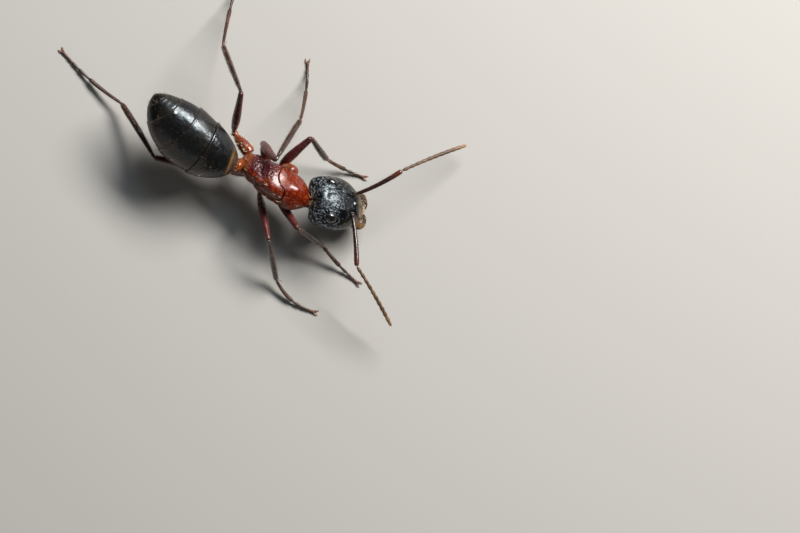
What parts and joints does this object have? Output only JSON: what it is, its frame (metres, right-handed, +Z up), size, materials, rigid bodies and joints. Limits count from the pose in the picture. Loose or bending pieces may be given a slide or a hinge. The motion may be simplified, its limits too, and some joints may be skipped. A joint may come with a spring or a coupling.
{
  "type": "carpenter ant worker",
  "caption": "Life-size still model of a carpenter ant worker, standing with its feelers spread, with a red trunk and a black head and gaster.",
  "frame": {"origin": "on the floor, at the middle of the overall box seen from above", "axes": "+X forwards along the trunk, +Y to the ant's left, +Z up"},
  "size_m": [0.0174, 0.0108, 0.0038],
  "materials": {
    "head_shell": "black, finely grained shell with a broad satin sheen",
    "eye": "near-black, finely faceted, glossy",
    "mandible": "olive-brown, smooth, darker red-brown at the teeth",
    "scape": "black-brown, glossy, reddish at the tip",
    "funiculus": "brown, satin, with fine pale down",
    "trunk_shell": "blood red to orange-red, glossy, wrinkled on the rear sides",
    "gaster_shell": "black with a bronze cast, glossy, golden at the plate rims",
    "coxa": "orange-brown, glossy",
    "femur": "dark red to maroon, glossy",
    "tibia": "brown-black, glossy",
    "tarsus": "dark brown, reddish towards the claws"
  },
  "bodies": {
    "root": {"head": "head_shell", "eye_left": "eye", "eye_right": "eye", "mandible_left": "mandible", "mandible_right": "mandible", "antenna_left_scape": "scape", "antenna_left_funiculus": "funiculus", "antenna_right_scape": "scape", "antenna_right_funiculus": "funiculus", "pronotum": "trunk_shell", "mesonotum": "trunk_shell", "propodeum": "trunk_shell", "petiole": "trunk_shell", "gaster_1": "gaster_shell", "gaster_2": "gaster_shell", "gaster_3": "gaster_shell", "gaster_4": "gaster_shell", "gaster_5": "gaster_shell", "leg_fore_left_coxa": "coxa", "leg_fore_left_femur": "femur", "leg_fore_left_tibia": "tibia", "leg_fore_left_tarsus": "tarsus", "leg_fore_right_coxa": "coxa", "leg_fore_right_femur": "femur", "leg_fore_right_tibia": "tibia", "leg_fore_right_tarsus": "tarsus", "leg_mid_left_coxa": "coxa", "leg_mid_left_femur": "femur", "leg_mid_left_tibia": "tibia", "leg_mid_left_tarsus": "tarsus", "leg_mid_right_coxa": "coxa", "leg_mid_right_femur": "femur", "leg_mid_right_tibia": "tibia", "leg_mid_right_tarsus": "tarsus", "leg_hind_left_coxa": "coxa", "leg_hind_left_femur": "femur", "leg_hind_left_tibia": "tibia", "leg_hind_left_tarsus": "tarsus", "leg_hind_right_coxa": "coxa", "leg_hind_right_femur": "femur", "leg_hind_right_tibia": "tibia", "leg_hind_right_tarsus": "tarsus"}
  },
  "joints": []
}
